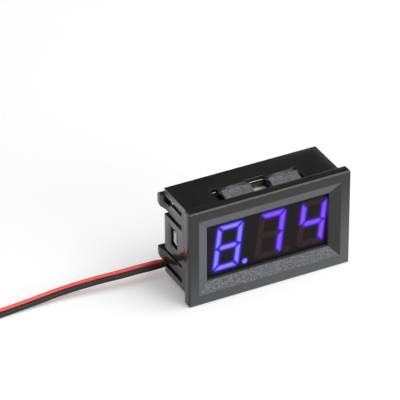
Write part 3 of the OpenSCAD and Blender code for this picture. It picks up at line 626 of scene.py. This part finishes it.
def laminate(name):
    f = Finish(name, Roughness=0.35)
    right, _, up = f.facing()
    edge = largest(abs(right), abs(up)).fade(0.5, 0.8)
    sawn = edge * abs(f.x).fade(TAB_FROM, TAB_FROM + 0.1)
    flat = f.node("ShaderNodeCombineXYZ", inputs={0: f.x, 1: f.z}, raw=True)
    bricks = f.node("ShaderNodeTexBrick", {"offset": 0.37, "squash": 1.6, "squash_frequency": 3},
                    {"Vector": flat, "Scale": 1.0, "Mortar Size": 0.07, "Mortar Smooth": 0.3,
                     "Brick Width": 3.1, "Row Height": 1.27, "Color1": (1, 1, 1, 1),
                     "Color2": (0.6, 0.6, 0.6, 1), "Mortar": (0, 0, 0, 1)})
    via = f.node("ShaderNodeTexVoronoi", {"voronoi_dimensions": "2D"},
                 {"Vector": flat, "Scale": 0.33, "Randomness": 0.8}).fade(0.09, 0.07)
    green = f.mix(bricks, colour(30, 58, 40), colour(44, 84, 56))
    green = f.mix(via, green, colour(150, 160, 130))
    layers = f.noise(1.0, 2.0, vector=f.stretched((1.0, 9.0, 1.0)))
    pale = f.mix(layers, colour(214, 213, 196), colour(236, 236, 226))
    dark_edge_green = f.mix(layers, colour(34, 62, 44), colour(46, 80, 58))
    height = bricks * 0.5 + via * 0.5 + layers * edge * 0.5
    return f.paint(Base_Color=f.mix(sawn, f.mix(edge, green, dark_edge_green), pale), Roughness=0.28 + edge * 0.4,
                   Normal=f.bump(height, 0.03))


dress("circuit_board", laminate("green board"))
dress("led_board", laminate("led board"))
print("two boards have the green laminate finish")

# %% [markdown]
# ## Small parts behind the board
# Chips are a grainy black moulding with bright tinned leads. Resistors and ceramic capacitors are tiny
# blocks with tinned ends. The trimmer's rotor is a slotted brass disc.

# %% Metal and moulding finishes
def tin(name="bright tin", rough=0.22, tone=(196, 196, 192)):
    f = Finish(name, Metallic=1.0)
    shade = f.mix(f.noise(1.8, 3.0), colour(*[v - 22 for v in tone]), colour(*tone))
    return f.paint(Base_Color=shade, Roughness=rough + 0.12 * f.noise(3.0, 2.0),
                   Normal=f.bump(f.noise(2.5, 2.0), 0.02))


def chip_moulding():
    f = Finish("chip moulding")
    shade = f.mix(f.noise(2.0, 3.0), colour(30, 30, 31), colour(44, 44, 44))
    return f.paint(Base_Color=shade, Roughness=0.5 + 0.15 * f.noise(3.0),
                   Normal=f.bump(f.noise(12.0, 2.0), 0.012))


bright_tin = tin()
chip_black = chip_moulding()
for name in ("display_pins", "pin_solder", "wire_solder", "controller_leads", "regulator_leads",
             "diode_terminals", "filter_terminals", "trimmer_terminals"):
    dress(name, bright_tin)
print("tin and moulding finishes:", bright_tin.name, "and", chip_black.name)


def ended_block(f, middle_tone, end_mask):
    """A small block: its own colour in the middle and tin at both ends."""
    speck = f.noise(6.0, 3.0)
    tone = f.mix(speck, colour(*[max(v - 10, 0) for v in middle_tone]), colour(*middle_tone))
    return f.paint(Base_Color=f.mix(end_mask, tone, colour(196, 196, 192)), Metallic=end_mask,
                   Roughness=0.45 - end_mask * 0.2, Normal=f.bump(speck, 0.01))


# %% Finishes of the resistors, capacitors and the trimmer
LARGE_RESISTOR_X = 8.2
LOW_CERAMIC_X = 10.0


def block_ends(centres, half, along):
    """1 on the tinned ends of blocks whose middles are at these places along one axis."""
    reach = smallest(*[abs(along - c) for c in centres])
    return reach.fade(half - 0.02, half + 0.02)


def resistor_glaze():
    f = Finish("resistor glaze")
    high = np.array(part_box("resistors")[1]) / MM
    large = f.z.fade(high[2] - 2.0, high[2] - 2.2)
    ends = (large * block_ends([LARGE_RESISTOR_X], 0.7, f.x)
            + (1 - large) * block_ends([high[2] - 0.8], 0.52, f.z))
    return ended_block(f, (34, 38, 44), ends)


def ceramic_tone():
    f = Finish("ceramic")
    low, high = [np.array(v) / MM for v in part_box("ceramic_capacitors")]
    ends = block_ends([low[0] + 1.0, LOW_CERAMIC_X, high[0] - 1.0], 0.68, f.x)
    return ended_block(f, (176, 150, 118), ends)


def tantalum_tone():
    """Ochre moulding with a darker band at its positive end."""
    f = Finish("ochre moulding", Roughness=0.42)
    high = np.array(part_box("filter_capacitor")[1]) / MM
    band = within(f.x, high[0] - 0.9, high[0] - 0.45)
    tone = f.mix(f.noise(3.0), colour(186, 132, 52), colour(202, 150, 66))
    return f.paint(Base_Color=f.mix(band, tone, colour(96, 60, 26)), Normal=f.bump(f.noise(8.0), 0.01))


def trimmer_ceramic():
    f = Finish("white ceramic", Roughness=0.4)
    return f.paint(Base_Color=f.mix(f.noise(2.0), colour(206, 204, 196), colour(226, 224, 218)),
                   Normal=f.bump(f.noise(6.0), 0.01))


RING_COUNT = 55.0


def rotor_brass():
    """Turned brass: fine rings round the rotor's axis."""
    f = Finish("turned brass", Metallic=1.0)
    low, high = [np.array(v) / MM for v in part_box("trimmer_rotor")]
    dx, dz = f.x - (low[0] + high[0]) / 2, f.z - (low[2] + high[2]) / 2
    rings = (dx * dx + dz * dz).root() * RING_COUNT
    rings = rings.maths("SINE", rings)
    return f.paint(Base_Color=f.mix(f.noise(2.0), colour(198, 170, 96), colour(216, 190, 120)),
                   Roughness=0.3 + 0.1 * f.noise(5.0), Normal=f.bump(rings * 0.5 + 0.5, 0.006))


def light_chip():
    f = Finish("light chip", Roughness=0.3)
    return f.paint(Base_Color=f.mix(f.noise(9.0), colour(120, 132, 214), colour(170, 180, 240)))


dress("resistors", resistor_glaze())
dress("ceramic_capacitors", ceramic_tone())
dress("led_chips", light_chip())
dress("trimmer_rotor", rotor_brass())
for name in ("controller_chip", "regulator_body", "diode_body"):
    dress(softened(name, 0.12, segments=2), chip_black)
dress(softened("filter_capacitor", 0.15, segments=3), tantalum_tone())
dress(softened("trimmer_base", 0.12, segments=2), trimmer_ceramic())
print("finishes so far:", len(bpy.data.materials))

# %% [markdown]
# ## PVC insulation
# Soft PVC is glossy but never quite even: the strands inside press faint ripples into it, and handling
# leaves it slightly cloudy. The stripped ends are tinned strands.

# %% Wire finishes
def pvc(name, dark, light, rough=0.3, shine=0.5):
    f = Finish(name, Specular_IOR_Level=shine)
    cloud = f.noise(0.5, 3.0)
    ripple = f.noise(1.1, 1.0, vector=f.stretched((0.35, 1.0, 1.0)))
    return f.paint(Base_Color=f.mix(cloud, colour(*dark), colour(*light)),
                   Roughness=rough + 0.12 * f.noise(1.7, 3.0), Normal=f.bump(ripple, 0.05))


dress(red_wire, pvc("red PVC", (226, 66, 58), (238, 84, 74)))
dress(black_wire, pvc("black PVC", (20, 20, 21), (30, 30, 31), 0.45, 0.3))
tinned_strands = tin("tinned strands", 0.28, (206, 204, 198))
for strands in (red_strands, black_strands):
    dress(strands, tinned_strands)
print("the wires wear", red_wire.active_material.name, "and", black_wire.active_material.name)

# %% [markdown]
# ## Table and light
# The table is a plain white sheet. Camera and mirror rays see a little added light on it, so it is pure
# white away from the object and still keeps the soft shadow. A low panel at the front right lights the
# flange and its grain. A wide panel high on the right gives most of the light, and its soft shadow falls
# to the left. A dark flag behind, which casts no shadow, is what the glossy upper face mirrors.

# %% Table
table_size = 3.0
table_mesh = bpy.data.meshes.new("table")
table_corners = [(x * table_size, y * table_size, 0) for x, y in ((-1, -1), (1, -1), (1, 1), (-1, 1))]
table_mesh.from_pydata(table_corners, [], [(0, 1, 2, 3)])
table = bpy.data.objects.new("table", table_mesh)
bpy.context.scene.collection.objects.link(table)


def seen_directly(tree):
    """1 for camera, mirror and glass rays, and 0 for the rays that carry light."""
    path = tree.nodes.new("ShaderNodeLightPath")
    first = tree.nodes.new("ShaderNodeMath")
    second = tree.nodes.new("ShaderNodeMath")
    first.operation = second.operation = "MAXIMUM"
    tree.links.new(path.outputs["Is Camera Ray"], first.inputs[0])
    tree.links.new(path.outputs["Is Glossy Ray"], first.inputs[1])
    tree.links.new(first.outputs[0], second.inputs[0])
    tree.links.new(path.outputs["Is Transmission Ray"], second.inputs[1])
    return second.outputs[0]


table_finish = bpy.data.materials.new("white table")
table_finish.use_nodes = True
table_shader = table_finish.node_tree.nodes["Principled BSDF"]
table_shader.inputs["Base Color"].default_value = (0.86, 0.86, 0.86, 1)
table_shader.inputs["Roughness"].default_value = 0.9
table_shader.inputs["Specular IOR Level"].default_value = 0.0
table_shader.inputs["Emission Color"].default_value = (1, 1, 1, 1)
TABLE_LIFT = 0.22
table_lift = table_finish.node_tree.nodes.new("ShaderNodeMath")
table_lift.operation = "MULTIPLY"
table_lift.inputs[1].default_value = TABLE_LIFT
table_finish.node_tree.links.new(seen_directly(table_finish.node_tree), table_lift.inputs[0])
table_finish.node_tree.links.new(table_lift.outputs[0], table_shader.inputs["Emission Strength"])
table_mesh.materials.append(table_finish)
print("the table is", 2 * table_size, "m wide")

# %% World and lamps
WORLD_FILL = 0.3
world = bpy.data.worlds.new("studio")
bpy.context.scene.world = world
world.use_nodes = True
sky = world.node_tree.nodes["Background"]
sky_mix = world.node_tree.nodes.new("ShaderNodeMix")
sky_mix.data_type = "RGBA"
sky_mix.inputs[6].default_value = (WORLD_FILL, WORLD_FILL, WORLD_FILL, 1)
sky_mix.inputs[7].default_value = (1, 1, 1, 1)
world.node_tree.links.new(seen_directly(world.node_tree), sky_mix.inputs[0])
world.node_tree.links.new(sky_mix.outputs[2], sky.inputs["Color"])


def panel(name, azimuth, elevation, distance, width, height, power):
    """A rectangular lamp that faces the meter."""
    lamp = bpy.data.lights.new(name, "AREA")
    lamp.shape = "RECTANGLE"
    lamp.size, lamp.size_y, lamp.energy = width, height, power
    holder = bpy.data.objects.new(name, lamp)
    bpy.context.scene.collection.objects.link(holder)
    towards = direction(azimuth, elevation)
    holder.location = np.array([0, 0, 0.012]) + distance * towards
    holder.rotation_mode = "QUATERNION"
    holder.rotation_quaternion = Vector(-towards).to_track_quat("-Z", "Y")
    return holder


panel("low front panel", 24, 16, 0.9, 0.5, 0.35, 3.2)
panel("overhead panel", 50, 64, 1.1, 1.0, 1.0, 10.0)
print("lamps:", [lamp.name for lamp in bpy.data.lights])

# %% Dark flag that keeps the upper face of the housing dark
flag_mesh = bpy.data.meshes.new("dark flag")
flag_finish = bpy.data.materials.new("dark cloth")
flag_finish.use_nodes = True
flag_shader = flag_finish.node_tree.nodes["Principled BSDF"]
flag_shader.inputs["Base Color"].default_value = (0.02, 0.02, 0.02, 1)
flag_shader.inputs["Roughness"].default_value = 1.0
FLAG_DISTANCE, FLAG_HALF_W, FLAG_HALF_H = 0.8, 0.45, 0.38
flag_towards = direction(152, 33)
flag_side = np.cross([0, 0, 1], flag_towards)
flag_side /= np.linalg.norm(flag_side)
flag_up = np.cross(flag_towards, flag_side)
flag_corners = [FLAG_DISTANCE * flag_towards + sx * FLAG_HALF_W * flag_side + sy * FLAG_HALF_H * flag_up
                for sx, sy in ((-1, -1), (1, -1), (1, 1), (-1, 1))]
flag_mesh.from_pydata([tuple(c) for c in flag_corners], [], [(0, 1, 2, 3)])
flag_mesh.materials.append(flag_finish)
flag = bpy.data.objects.new("dark flag", flag_mesh)
bpy.context.scene.collection.objects.link(flag)
flag.visible_camera = flag.visible_diffuse = flag.visible_shadow = False
print("the flag is", 2 * FLAG_HALF_W, "by", 2 * FLAG_HALF_H, "m")

# %% View settings
bpy.context.scene.view_settings.view_transform = "Standard"
